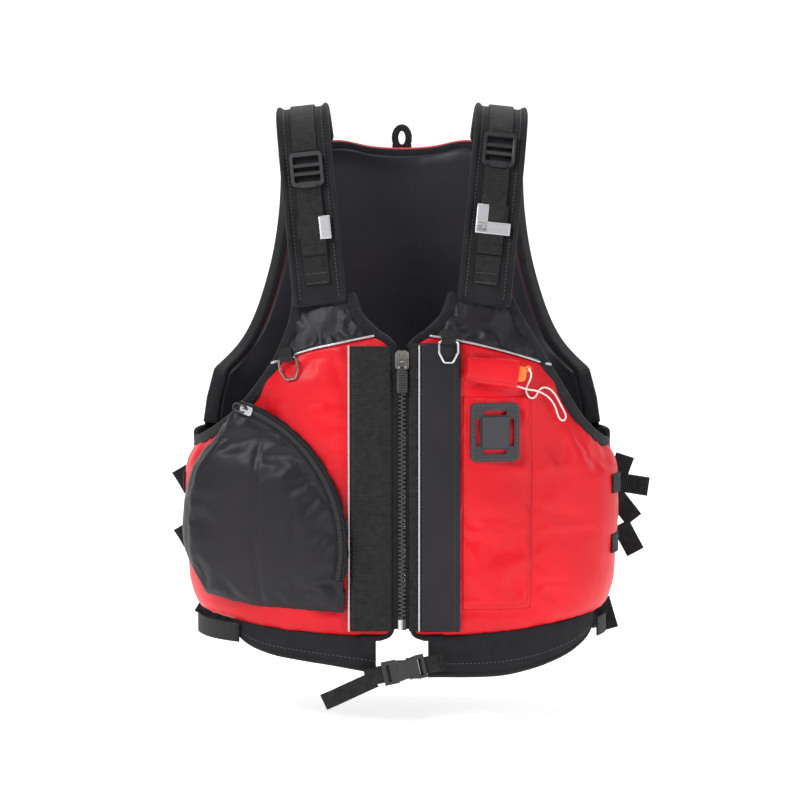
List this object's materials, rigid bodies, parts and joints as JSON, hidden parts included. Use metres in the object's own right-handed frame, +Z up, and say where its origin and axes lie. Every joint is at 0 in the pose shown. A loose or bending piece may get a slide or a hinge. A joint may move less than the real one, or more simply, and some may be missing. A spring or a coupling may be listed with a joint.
{
  "type": "life jacket",
  "caption": "Kayaking life jacket with zipped foam fronts, high foam back over mesh, padded shoulder straps, cargo pocket and a buckled waist belt.",
  "frame": {"origin": "on the wearer's body axis, at the height of the waist belt", "axes": "+X to the wearer's left, +Y behind the wearer, +Z up the body"},
  "size_m": [0.5194, 0.2776, 0.6119],
  "materials": {
    "shell_red": "satin nylon",
    "nylon_black": "satin nylon",
    "lining_black": "satin nylon",
    "foam": "closed-cell foam",
    "neoprene": "matte, fabric faced",
    "mesh": "open mesh",
    "binding": "woven tape with reflective piping",
    "webbing": "woven webbing",
    "reflective": "reflective tape",
    "zip": "moulded teeth on woven tape",
    "plastic_black": "moulded",
    "steel": "polished",
    "lash_plastic": "moulded",
    "whistle_orange": "moulded",
    "cord_white": "braided"
  },
  "bodies": {
    "back": {"back_shell": "shell_red", "back_foam": "foam", "back_lining": "lining_black", "back_mesh": "mesh", "back_skirt": "neoprene", "back_trim": "binding", "belt_webbing_back": "webbing", "hang_loop": "webbing", "rear_pads": "neoprene", "rear_straps": "webbing", "side_mesh": "mesh", "side_straps": "webbing"},
    "right_front": {"front_shell_right": "shell_red", "yoke_right": "nylon_black", "front_foam_right": "foam", "front_lining_right": "lining_black", "front_trim_right": "binding", "front_skirt_right": "neoprene", "zip_stringer_right": "zip", "shoulder_pad_right": "neoprene", "upper_strap_right": "webbing", "lower_strap_right": "webbing", "reflective_keeper_right": "reflective", "d_ring_tab_right": "webbing", "belt_webbing_right": "webbing", "zip_placket_right": "webbing", "cargo_pocket": "nylon_black", "pocket_zip": "zip"},
    "left_front": {"front_shell_left": "shell_red", "yoke_left": "nylon_black", "front_foam_left": "foam", "front_lining_left": "lining_black", "front_trim_left": "binding", "front_skirt_left": "neoprene", "zip_stringer_left": "zip", "shoulder_pad_left": "neoprene", "upper_strap_left": "webbing", "lower_strap_left": "webbing", "reflective_keeper_left": "reflective", "d_ring_tab_left": "webbing", "belt_webbing_left": "webbing", "storm_flap_left": "nylon_black", "chest_pocket": "shell_red", "lash_tab": "lash_plastic", "whistle_lanyard": "cord_white", "buckle_female": "plastic_black"},
    "main_slider": {"main_slider": "steel"},
    "main_pull": {"main_pull": "webbing"},
    "pocket_slider": {"pocket_slider": "steel"},
    "pocket_pull": {"pocket_pull": "plastic_black"},
    "d_ring_right": {"d_ring_right": "steel"},
    "d_ring_left": {"d_ring_left": "steel"},
    "ladder_lock_right": {"ladder_lock_right": "plastic_black"},
    "ladder_lock_left": {"ladder_lock_left": "plastic_black"},
    "whistle": {"whistle": "whistle_orange"},
    "buckle_male": {"buckle_male": "plastic_black"},
    "buckle_arm_upper": {"buckle_arm_upper": "plastic_black"},
    "buckle_arm_lower": {"buckle_arm_lower": "plastic_black"},
    "tri_glides_right": {"tri_glides_right": "plastic_black"},
    "tri_glides_left": {"tri_glides_left": "plastic_black"}
  },
  "joints": [
    {"name": "right_front_opening", "type": "hinge", "parent": "back", "child": "right_front", "pos_m": [-0.215, 0, 0], "axis": [-0.1462, 0, -0.9893], "range_deg": [0, 55], "deforming": ["side_mesh", "side_straps"]},
    {"name": "left_front_opening", "type": "hinge", "parent": "back", "child": "left_front", "pos_m": [0.215, 0, 0], "axis": [-0.1462, 0, 0.9893], "range_deg": [0, 55], "deforming": ["side_mesh", "side_straps"]},
    {"name": "main_zip", "type": "slide", "parent": "left_front", "child": "main_slider", "axis": [0, 0, 1], "range_m": [-0.25, 0]},
    {"name": "main_pull_swing", "type": "hinge", "parent": "main_slider", "child": "main_pull", "pos_m": [0, -0.1422, 0.292], "axis": [-1, 0, 0], "range_deg": [0, 150]},
    {"name": "pocket_zip_travel", "type": "hinge", "parent": "right_front", "child": "pocket_slider", "pos_m": [-0.20113, -0.10999, 0.102], "axis": [0.2588, 0.9659, 0], "range_deg": [0, 80]},
    {"name": "pocket_pull_swing", "type": "hinge", "parent": "pocket_slider", "child": "pocket_pull", "pos_m": [-0.15717, -0.12834, 0.2391], "axis": [0.3145, -0.0843, 0.9455], "range_deg": [0, 150]},
    {"name": "d_ring_right_swing", "type": "hinge", "parent": "right_front", "child": "d_ring_right", "pos_m": [-0.11531, -0.12676, 0.291], "axis": [-0.9291, 0.3057, -0.2079], "range_deg": [0, 100]},
    {"name": "d_ring_left_swing", "type": "hinge", "parent": "left_front", "child": "d_ring_left", "pos_m": [0.04632, -0.14241, 0.309], "axis": [-0.9972, -0.075, 0], "range_deg": [0, 100]},
    {"name": "ladder_lock_right_tilt", "type": "hinge", "parent": "right_front", "child": "ladder_lock_right", "pos_m": [-0.09788, -0.0912, 0.49554], "axis": [-0.9945, 0, -0.1045], "range_deg": [0, 35]},
    {"name": "ladder_lock_left_tilt", "type": "hinge", "parent": "left_front", "child": "ladder_lock_left", "pos_m": [0.09996, -0.08333, 0.51535], "axis": [-0.9945, 0, 0.1045], "range_deg": [0, 35]},
    {"name": "whistle_draw", "type": "slide", "parent": "left_front", "child": "whistle", "axis": [0.9714, 0.1925, -0.1392], "range_m": [0, 0.03], "deforming": ["whistle_lanyard"]},
    {"name": "buckle_release", "type": "slide", "parent": "right_front", "child": "buckle_male", "axis": [-0.9781, 0, -0.2079], "range_m": [0, 0.022], "deforming": ["belt_webbing_right", "buckle_arm_upper", "buckle_arm_lower"]},
    {"name": "buckle_arm_upper_flex", "type": "hinge", "parent": "buckle_male", "child": "buckle_arm_upper", "pos_m": [-0.00487, -0.145, -0.01789], "axis": [0, -1, 0], "range_deg": [-6, 0], "stiffness_Nm_per_rad": 0.04},
    {"name": "buckle_arm_lower_flex", "type": "hinge", "parent": "buckle_male", "child": "buckle_arm_lower", "pos_m": [-0.00313, -0.145, -0.02611], "axis": [0, -1, 0], "range_deg": [0, 6], "stiffness_Nm_per_rad": 0.04},
    {"name": "tri_glides_right_travel", "type": "slide", "parent": "back", "child": "tri_glides_right", "axis": [0.8332, 0.553, 0], "range_m": [0, 0.012]},
    {"name": "tri_glides_left_travel", "type": "slide", "parent": "back", "child": "tri_glides_left", "axis": [-0.8332, 0.553, 0], "range_m": [0, 0.012]}
  ],
  "couplings": [
    {"joint": "buckle_arm_lower_flex", "follows": "buckle_arm_upper_flex", "ratio": -1}
  ]
}
